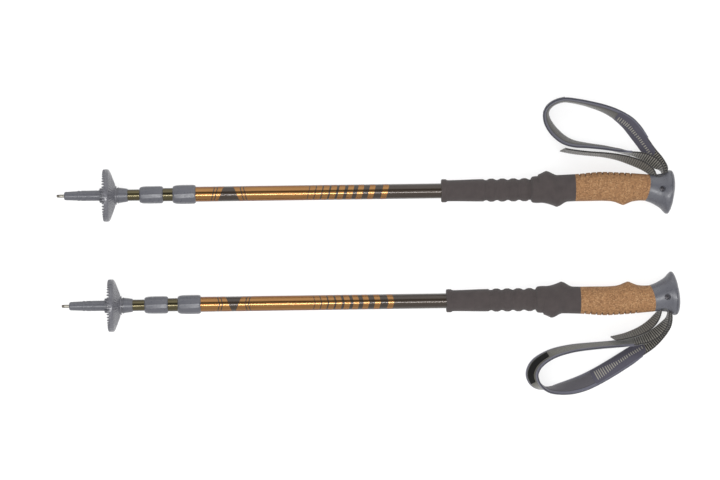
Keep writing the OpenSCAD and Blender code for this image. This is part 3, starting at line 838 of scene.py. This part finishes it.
def head_pin(side):
    """The steel pin that the strap turns on, with a domed and stepped end in each countersink."""
    half = 12.4
    end = [
        (0.01, half), (0.7, half - 0.1), (1.1, half - 0.4), (1.2, half - 0.9), (2.0, half - 1.0),
        (2.2, half - 1.3),
    ]
    outline = end + [(r, -z) for r, z in reversed(end)]
    rings = [pin_ring(r, z, 32) for r, z in outline]
    looks = {"material": PIN_STEEL, "slot": "tip_steel", "sharp": 40}
    lofted(side, "stepped_pin", "handle", rings, stands_for="strap_pin", **looks)


def grip_head(side):
    """The hooked head, with its rim line, the strap's slot and the pin's countersunk hole."""
    nose, palm, depth = (smooth_curve(table) for table in (HEAD_NOSE, HEAD_PALM, HEAD_DEPTH))
    line_start, line_end = RIM_LINE_U - 0.8, RIM_LINE_U + 1.4
    places = steps(HEAD_U, line_start, 0.9)[:-1] + steps(line_start, line_end, 0.12)[:-1]
    places += steps(line_end, HEAD_END_U, 0.2)
    rings = []
    for u in places:
        line = RIM_LINE_DEPTH * max(0.0, 1 - abs(u - RIM_LINE_U) / 0.5)
        lean = 1 - ease(u, HEAD_U, 641)
        ring = oval(u, nose(u) - line, palm(u) - line, depth(u) - line, 128)
        rings.append([(u + join_lean(y) * lean, y, z) for u, y, z in ring])
    mid_y = (HEAD_NOSE[-1][1] - HEAD_PALM[-1][1]) / 2
    end_ring = rings[-1]
    for part in (0.66, 0.33):
        u = HEAD_END_U + 0.12 * (1 - part)
        rings.append([(u, mid_y + (y - mid_y) * part, z * part) for _, y, z in end_ring])
    head = lofted(side, "hooked_head", "handle", rings, stands_for="grip_head", sharp=40, **GREY)
    cut_away(head, slot_cutter(side))
    cut_away(head, pin_cutter(side))
    head.data.shade_smooth()
    head.data.set_sharp_from_angle(angle=math.radians(40))


# ---------------------------------------------------------------- straps

WEBBING_W, WEBBING_T = 17.0, 1.4
WEBBING_STEP = 0.32  # between its rings, for the ribs
END_RINGS, END_SLANT = 30, 4.5  # rings of the free end that take part in its slanted cut, and its slant
PAD_W = 20.0
STRAP_STACK = 3.3  # room for the padding, from the webbing's middle
GROUND_GAP = 0.4
HEAD_SLOT_Z = TIP_Z - PIN_U * math.sin(TILT)
PIN_R, PIN_GAP = 2.2, 0.35
WRAP_R = PIN_R + PIN_GAP + WEBBING_T / 2

# Each route is the line of the webbing's middle, as (u, s, lean in degrees, lift). Lift is 0 on the
# ground and 1 at the height of the head's slot.
PIN_TURN = [
    (PIN_U + WRAP_R * math.cos(math.radians(a)), -PIN_Y - WRAP_R * math.sin(math.radians(a)), 0, 1)
    for a in range(0, 181, 45)
]
LEFT_LOOP = [
    (645.9, -3, 0, 1), (646, 6, 0, 1), (646, 14, 6, 1), (644.4, 21, 28, 0.9), (638.7, 29, 42, 0.7),
    (632, 37, 46, 0.5), (626, 45.5, 48, 0.3), (620, 55, 50, 0.1), (614, 63.5, 48, 0), (607, 71, 42, 0),
    (595, 79.6, 28, 0), (582, 85.8, 18, 0), (567, 90.8, 10, 0), (554, 94, 6, 0), (541, 95.8, 4, 0),
    (530.5, 93.2, 5, 0), (523.5, 88, 8, 0), (520.6, 81.5, 14, 0), (521.6, 74.5, 22, 0), (525, 67.5, 28, 0),
    (531, 59.8, 30, 0), (539.5, 52.8, 28, 0), (550, 48.3, 20, 0), (566, 45.6, 10, 0), (582, 43.2, 6, 0),
    (597.5, 40, 0, 0), (611, 37.4, -10, 0.1), (622, 34.4, -24, 0.3), (630.5, 30, -36, 0.6),
    (637.4, 25, -34, 0.85), (642.4, 20, -12, 1), (644.1, 14, 0, 1), (644.1, 6, 0, 1),
]
LEFT_TAIL = [
    (637.9, 3, 0, 1), (636.8, 8, 0, 1), (634.6, 13, 10, 1), (630.4, 18.4, 24, 0.85), (622.8, 24, 30, 0.6),
    (610.5, 29.4, 28, 0.25), (597.5, 33.4, 20, 0), (582, 36.2, 14, 0), (566, 37.8, 12, 0), (550, 39.8, 12, 0),
    (536, 42.6, 12, 0),
]
RIGHT_LOOP = [
    (645.9, -3, 0, 1), (646, 6, 0, 1), (646.1, 15, 0, 1), (646.3, 21.5, 4, 0.9), (643.4, 30.5, 14, 0.65),
    (635.6, 40, 26, 0.4), (625, 48.4, 44, 0.2), (612.4, 56, 56, 0.1), (599, 64.8, 60, 0), (583, 74.6, 62, 0),
    (568, 83, 62, 0), (554, 89.6, 60, 0), (540.5, 93.8, 50, 0), (528, 96, 34, 0), (516.5, 96.8, 12, 0),
    (507.5, 94.2, -12, 0), (501, 88.4, -30, 0), (498.4, 80, -38, 0), (502, 70.8, -38, 0),
    (510.5, 63.4, -32, 0), (523.5, 57.2, -26, 0), (542.5, 52.8, -20, 0), (566, 50.4, -16, 0),
    (585, 49, -16, 0), (600, 47.6, -20, 0), (612.5, 45.6, -28, 0.1), (622.5, 42.4, -36, 0.3),
    (631.5, 37, -38, 0.55), (638.6, 29.5, -26, 0.75), (643, 21.5, -6, 0.95), (644.1, 14, 0, 1),
    (644.1, 6, 0, 1),
]
RIGHT_TAIL = [
    (637.9, 3, 0, 1), (636.9, 8, 0, 1), (635, 13.4, 6, 1), (631.4, 20, 20, 0.85), (626.6, 26.4, 28, 0.6),
    (619.6, 32.2, 30, 0.35), (610.5, 36.8, 26, 0.15), (598, 40.8, 20, 0), (583.5, 43.6, 16, 0),
]
TAIL = {"left": LEFT_TAIL, "right": RIGHT_TAIL}
ROUTE = {"left": LEFT_LOOP + PIN_TURN + LEFT_TAIL, "right": RIGHT_LOOP + PIN_TURN + RIGHT_TAIL}
PAD_SPAN = {"left": (6.5, 26.0), "right": (7.0, 24.5)}
LABEL_SPAN = {"left": (14.0, 17.0), "right": (16.0, 19.5)}


def route_point(route, x):
    """Where the route is at x, counted in its points, on the CAD's own curve through them."""
    last = len(route) - 1
    i = min(max(int(x), 0), last - 1)
    a, b, c, d = (Vector(route[min(max(k, 0), last)]) for k in (i - 1, i, i + 1, i + 2))
    t = x - i
    return (2 * b + (c - a) * t + (2 * a - 5 * b + 4 * c - d) * t**2 + (3 * b - a - 3 * c + d) * t**3) / 2


def band_frame(route, x):
    """A band's middle at x, its direction across and its direction through, in millimetres."""
    here = route_point(route, x)
    step = route_point(route, x + 0.01) - route_point(route, x - 0.01)
    run = math.hypot(step[0], step[1])
    out_u, out_s = step[1] / run, -step[0] / run
    lean = math.radians(here[2])
    ground_z = PAD_W / 2 * math.cos(lean) + STRAP_STACK * abs(math.sin(lean)) + GROUND_GAP
    middle = Vector((here[0], here[1], ground_z + (HEAD_SLOT_Z - ground_z) * here[3]))
    across = Vector((out_u * math.sin(lean), out_s * math.sin(lean), math.cos(lean)))
    through = Vector((-out_u * math.cos(lean), -out_s * math.cos(lean), math.sin(lean)))
    return middle, across, through


FINE_STEPS = 4000


def band_places(side, span, spacing):
    """Places along the route at an even spacing in millimetres, each with its length so far."""
    route = ROUTE[side]
    fine = [span[0] + (span[1] - span[0]) * i / FINE_STEPS for i in range(FINE_STEPS + 1)]
    lengths = [0.0]
    before = band_frame(route, fine[0])[0]
    for x in fine[1:]:
        here = band_frame(route, x)[0]
        lengths.append(lengths[-1] + (here - before).length)
        before = here
    places, at = [], 0
    for wanted in steps(0.0, lengths[-1], spacing):
        while at < len(lengths) - 2 and lengths[at + 1] < wanted:
            at += 1
        part = (wanted - lengths[at]) / max(lengths[at + 1] - lengths[at], 1e-9)
        places.append((fine[at] + (fine[at + 1] - fine[at]) * min(part, 1.0), wanted))
    return places


def strap_placed(p, side):
    """A point of the straps' own frame, moved to the row frame."""
    return Vector((TIP_X[side] + p[0], AXIS_Y[side] + PALM_SIDE[side] * p[1], p[2])) * MM


def band_points(side, places, section):
    """The points of a band whose section at each length is a list of (across, through)."""
    route = ROUTE[side]
    points, along, over = [], [], []
    for x, length in places:
        middle, across, through = band_frame(route, x)
        for c, t in section(length):
            points.append(strap_placed(middle + across * c + through * t, side))
            along.append(length)
            over.append(c)
    return points, along, over


def flat_section(half_w, low, high, columns, rise=0.0):
    """A thin rounded section: out along its low face, and back along its high one."""
    edge = (high - low) / 2
    across = [-half_w + edge + 2 * (half_w - edge) * i / columns for i in range(columns + 1)]
    mid = (low + high) / 2
    bottom = [(c, low - rise) for c in across]
    top = [(c, high + rise) for c in reversed(across)]
    return bottom + [(half_w, mid)] + top + [(-half_w, mid)]


def webbing(side):
    """The whole ribbed band: fixed end, loop, turn round the pin and free tail."""
    places = band_places(side, (0, len(ROUTE[side]) - 1), WEBBING_STEP)
    total = places[-1][1]

    def section(length):
        rib = 0.11 * math.sin(2 * math.pi * length / RIB_PITCH)
        return flat_section(WEBBING_W / 2, -WEBBING_T / 2, WEBBING_T / 2, 10, rib)

    points, along, over = band_points(side, places, section)
    # The free end is cut at a slant and melted, so its last rings move back on one edge.
    sides = len(section(0.0))
    route = ROUTE[side]
    cut_length = END_RINGS * WEBBING_STEP
    for k in range(len(places) - END_RINGS, len(places)):
        x, length = places[k]
        part = (length - (total - cut_length)) / cut_length
        heading = band_frame(route, x)[0] - band_frame(route, x - 0.05)[0]
        heading = Vector((heading[0], PALM_SIDE[side] * heading[1], heading[2])).normalized()
        for i in range(sides):
            slant = END_SLANT * part * (0.5 + over[k * sides + i] / WEBBING_W)
            points[k * sides + i] -= heading * slant * MM
    faces = loft_faces(len(places), sides)
    tail_from = band_places(side, (0, len(ROUTE[side]) - 1 - len(TAIL[side])), WEBBING_STEP)[-1][1]
    looks = {"material": woven_webbing(side, tail_from), "slot": "webbing", "sharp": 60}
    band = new_piece(side, "ribbed_webbing", "handle", points, faces, stands_for="strap_webbing", **looks)
    store(band, along=along, across=over)


PAD_END_LENGTH = 14.0  # over which the padding thins to the band's sewn ends
END_NARROWING = 0.935  # of the sleeve's width, at its ends
PAD_RISE = 2.05  # of the soft side at its middle
SEAM_SPREAD = 0.55
EDGE_BEAD = ((9.25, -0.95), (9.75, -0.5), (PAD_W / 2, 0.05), (9.8, 0.65), (9.3, 1.0))
OUTER_FACE, INNER_FACE = -1.25, 1.02
CHANNEL = (8.6, 0.93)  # half the width and half the depth of the way for the webbing
PAD_REACH, PAD_COLUMNS = 8.8, 26  # how far its faces reach each way from its middle


def seam(c):
    """1 on the band's two long seams, and 0 away from them."""
    return math.exp(-(((abs(c) - SEAM_AT) / SEAM_SPREAD) ** 2))


def pad_height(c, from_end):
    """How far the padded face stands from the webbing's middle, across the band and near its end."""
    plump = 0.08 + 0.92 * ease(from_end, 0.0, PAD_END_LENGTH)
    crown = 1 - min(abs(c) / 8.9, 1.0) ** 3
    return INNER_FACE + plump * (PAD_RISE * crown - 0.4 * seam(c))


def wrist_band(side):
    """The sewn sleeve round the webbing: a thin outer face, a soft inner pad, and bound edges."""
    places = band_places(side, PAD_SPAN[side], 0.6)
    total = places[-1][1]
    columns = [-PAD_REACH + 2 * PAD_REACH * i / PAD_COLUMNS for i in range(PAD_COLUMNS + 1)]

    def section(length):
        """The outside of the sleeve, from one edge along its outer face and back along its padded one."""
        from_end = min(length, total - length)
        outer = [(c, OUTER_FACE + 0.14 * seam(c)) for c in columns]
        inner = [(c, pad_height(c, from_end)) for c in reversed(columns)]
        sleeve_ring = outer + list(EDGE_BEAD) + inner + [(-c, t) for c, t in reversed(EDGE_BEAD)]
        narrowed = END_NARROWING + (1 - END_NARROWING) * ease(from_end, 0.0, PAD_END_LENGTH)
        return [(c * narrowed, t) for c, t in sleeve_ring]

    def channel(length):
        """The flat channel that the webbing runs in."""
        wide, deep = CHANNEL
        return [(max(-wide, min(wide, c)), math.copysign(deep, t)) for c, t in section(length)]

    points, along, over = band_points(side, places, section)
    sides = len(section(0.0))
    rows = len(places)
    channel_places = places[:-1:4] + [places[-1]]
    hole, hole_along, hole_over = band_points(side, channel_places, channel)
    inside = []
    for _, length in places:
        inside += [1.0 if t > 0 else 0.0 for _, t in section(length)]
    shift = rows * sides
    faces = loft_faces(rows, sides)[:-2]
    hole_rows = len(channel_places)
    faces += [tuple(shift + i for i in face[::-1]) for face in loft_faces(hole_rows, sides)[:-2]]
    for row, hole_row in ((0, 0), (rows - 1, hole_rows - 1)):
        for i in range(sides):
            a, b = row * sides + i, row * sides + (i + 1) % sides
            c, d = shift + hole_row * sides + (i + 1) % sides, shift + hole_row * sides + i
            faces.append((a, b, c, d))
    looks = {"material": pad_cloth(side), "slot": "pad_fabric", "sharp": 60}
    points += hole
    band = new_piece(side, "padded_wrist_band", "handle", points, faces, stands_for="wrist_pad", **looks)
    store(band, along=along + hole_along, across=over + hole_over, inside=inside + [1.0] * len(hole))


TONGUE_SPAN = {"left": (4.7, 9.9), "right": (6.5, 10.35)}
TONGUE_HALF, TONGUE_T = 8.3, 0.45
LADDER_PITCH = 2.6
LADDER_GROWTH = {"left": 1.6, "right": 3.6}  # how much longer half a stitch gets towards the hand
LADDER_START = 3.2  # from the tongue's round end to the first stitch


def tongue(side):
    """The band's cloth end, folded over the webbing's inner face and sewn down with a ladder of stitches."""
    places = band_places(side, TONGUE_SPAN[side], 0.5)
    total = places[-1][1]
    before_pad = band_places(side, (TONGUE_SPAN[side][0], PAD_SPAN[side][0]), 0.5)[-1][1]

    def section(length):
        end = min(length / 6.5, (total - length) / 1.2, 1.0)
        half = TONGUE_HALF * (0.2 + 0.8 * math.sqrt(max(0.0, 1 - (1 - end) ** 2)))
        across = [-half + 2 * half * i / 12 for i in range(13)]
        low = [(c, pad_height(c, max(0.0, length - before_pad)) + 0.05) for c in across]
        return low + [(c, t + TONGUE_T) for c, t in reversed(low)]

    points, along, over = band_points(side, places, section)
    faces = loft_faces(len(places), len(section(0.0)))
    cloth = new_piece(side, "sewn_tongue", "handle", points, faces, TONGUE_CLOTH, "pad_fabric", sharp=50)
    store(cloth, along=along, across=over)

    # Each stitch is a short rounded thread across the tongue, longer towards the hand.
    bars, bar_faces = [], []
    route = ROUTE[side]
    count = int((total - LADDER_START - 1.0) / LADDER_PITCH)
    for k in range(count):
        wanted = LADDER_START + k * LADDER_PITCH
        half = 2.0 + LADDER_GROWTH[side] * ease(k / (count - 1), 0.45, 1.0)
        x = min(places, key=lambda place: abs(place[1] - wanted))[0]
        middle, across, through = band_frame(route, x)
        heading = (band_frame(route, x + 0.01)[0] - middle).normalized()
        first = len(bars)
        for c, thick in ((-1.0, 0.1), (-0.93, 0.3), (-0.5, 0.4), (0.5, 0.4), (0.93, 0.3), (1.0, 0.1)):
            level = pad_height(c * half, max(0.0, wanted - before_pad)) + 0.05 + TONGUE_T
            for a in angles(8):
                p = middle + across * (c * half) + through * (level + thick * 0.7 * math.sin(a))
                p += heading * (thick * 1.4 * math.cos(a))
                bars.append(strap_placed(p, side))
        bar_faces += [tuple(first + i for i in face) for face in loft_faces(6, 8)]
    thread = new_piece(side, "ladder_stitch", "handle", bars, bar_faces, STITCH_THREAD, "webbing", sharp=60)
    store(thread, along=[0.0] * len(bars))


def label(side):
    """The small woven tape on the loop's far end, with its two ends turned under."""
    places = band_places(side, LABEL_SPAN[side], 0.6)
    total = places[-1][1]

    def section(length):
        end = min(length, total - length)
        lift = -0.25 * math.exp(-((end / 1.3) ** 2))
        return flat_section(4.9, -2.1 + lift, -1.45, 6)

    points, along, over = band_points(side, places, section)
    faces = loft_faces(len(places), len(section(0.0)))
    looks = {"material": LABEL_CLOTH, "slot": "label_fabric", "sharp": 50}
    tape = new_piece(side, "woven_label", "handle", points, faces, stands_for="strap_label", **looks)
    store(tape, along=along, across=over)


# ---------------------------------------------------------------- both poles

for pole in SIDES:
    for node, finish in KEPT_NODES.items():
        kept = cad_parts[f"{pole}_{node}"]
        for material_slot in kept.material_slots:
            material_slot.material = finish
    olive = {"material": OLIVE_METAL, "slot": "olive_anodised"}
    gold = {"material": printed_tube(pole), "slot": "printed_gold"}
    shaft(pole, "lower_tube", "lower_section", LOWER_SPAN, LOWER_R, stands_for="lower_shaft", **olive)
    shaft(pole, "middle_tube", "middle_section", MIDDLE_SPAN, MIDDLE_R, stands_for="middle_shaft", **olive)
    shaft(pole, "upper_tube", "handle", UPPER_SPAN, UPPER_R, stands_for="upper_shaft", **gold)
    flex_tip(pole)
    collar(pole, "flatted_lower_collar", "middle_section", LOWER_COLLAR, LOWER_R + 0.06, "lower_collar")
    collar(pole, "flatted_upper_collar", "handle", UPPER_COLLAR, MIDDLE_R + 0.06, "upper_collar")
    basket(pole)
    foam_grip(pole)
    cork_grip(pole)
    grip_head(pole)
    head_pin(pole)
    webbing(pole)
    wrist_band(pole)
    tongue(pole)
    label(pole)

# ---------------------------------------------------------------- floor, light and camera, in metres

VIEW_CENTRE = Vector((-9.05, 9.3, 0)) * MM
VIEW_TURN = math.radians(-0.81)
VIEW_WIDTH = 0.763
CAMERA_HEIGHT = 3.0
SENSOR = 36.0

FLOOR_HALF = 6.0
FLOOR_DROP = 0.0002  # below the poles, so that no face lies in the floor's

floor_mesh = bpy.data.meshes.new("floor")
corners = [(FLOOR_HALF * x, FLOOR_HALF * y, 0) for x, y in ((-1, -1), (1, -1), (1, 1), (-1, 1))]
floor_mesh.from_pydata(corners, [], [(0, 1, 2, 3)])
floor = bpy.data.objects.new("floor", floor_mesh)
bpy.context.collection.objects.link(floor)
# The floor is a light table, whose glow softens the shadows.
glow = {"Emission_Strength": 0.36, "Emission_Color": (1, 1, 1, 1)}
floor_paint = Finish("studio_floor", roughness=0.8, Specular_IOR_Level=0.1, **glow)
whites = paint(246, 246, 246), paint(249, 249, 249)
floor_mesh.materials.append(floor_paint.finish(floor_paint.mix(floor_paint.noise(0.02, 3), *whites)))
floor.location.z = -FLOOR_DROP


def area_light(name, place, target, size, power):
    """A flat soft light at a place, aimed at a target."""
    data = bpy.data.lights.new(name, "AREA")
    data.shape = "RECTANGLE"
    data.size, data.size_y = size
    data.energy = power
    data.use_shadow = False
    light = bpy.data.objects.new(name, data)
    light.location = place
    light.rotation_euler = (Vector(target) - Vector(place)).to_track_quat("-Z", "Y").to_euler()
    bpy.context.collection.objects.link(light)


area_light("strip", place=(0, -0.4, 1.5), target=(0, 0, 0), size=(2.6, 0.12), power=24)


# The walls' light at angles from straight up, in degrees towards the left pole, with the ends first.
WALL_LIGHT = [
    (-180, 0.72), (180, 0.86), (-60, 0.58), (-25, 0.74), (3, 0.86), (11, 0.12), (30, 0.12), (44, 1.0),
    (66, 1.0), (80, 0.86),
]
SKY_STRENGTH = 1.66


def studio_sky():
    """Even white walls, darker past the poles' ends, and a dark band beside the strip light.

    The band and the ends give the bright metal and the smooth plastic something to reflect.
    """
    sky = bpy.data.worlds.new("studio")
    bpy.context.scene.world = sky
    sky.use_nodes = True
    nodes = Nodes(sky.node_tree)
    x, y, z = nodes.node("SeparateXYZ", {0: nodes.node("TexCoord", {}).outputs["Generated"]}).outputs
    ends = nodes.math("SUBTRACT", 1.0, nodes.math("MULTIPLY", nodes.math("MULTIPLY", x, x), 0.5))
    turns = nodes.math("MULTIPLY", nodes.math("ARCTAN2", y, z), 1 / (2 * math.pi))
    stops = [(0.5 + angle / 360, (light, light, light, 1)) for angle, light in WALL_LIGHT]
    walls = nodes.ramp(nodes.math("ADD", turns, 0.5), stops)
    strength = nodes.math("MULTIPLY", nodes.math("MULTIPLY", ends, walls), SKY_STRENGTH)
    background = nodes.tree.nodes["Background"].inputs
    nodes.feed(background["Strength"], strength)
    nodes.feed(background["Color"], (1, 1, 1, 1))


studio_sky()

camera_data = bpy.data.cameras.new("camera")
camera_data.sensor_width = SENSOR
camera_data.lens = SENSOR * (CAMERA_HEIGHT - TIP_Z * MM) / VIEW_WIDTH
camera_data.clip_end = 50
camera = bpy.data.objects.new("camera", camera_data)
camera.location = VIEW_CENTRE + Vector((0, 0, CAMERA_HEIGHT))
camera.rotation_euler = (0, 0, VIEW_TURN)
bpy.context.collection.objects.link(camera)
bpy.context.scene.camera = camera
bpy.context.scene.view_settings.view_transform = "Standard"
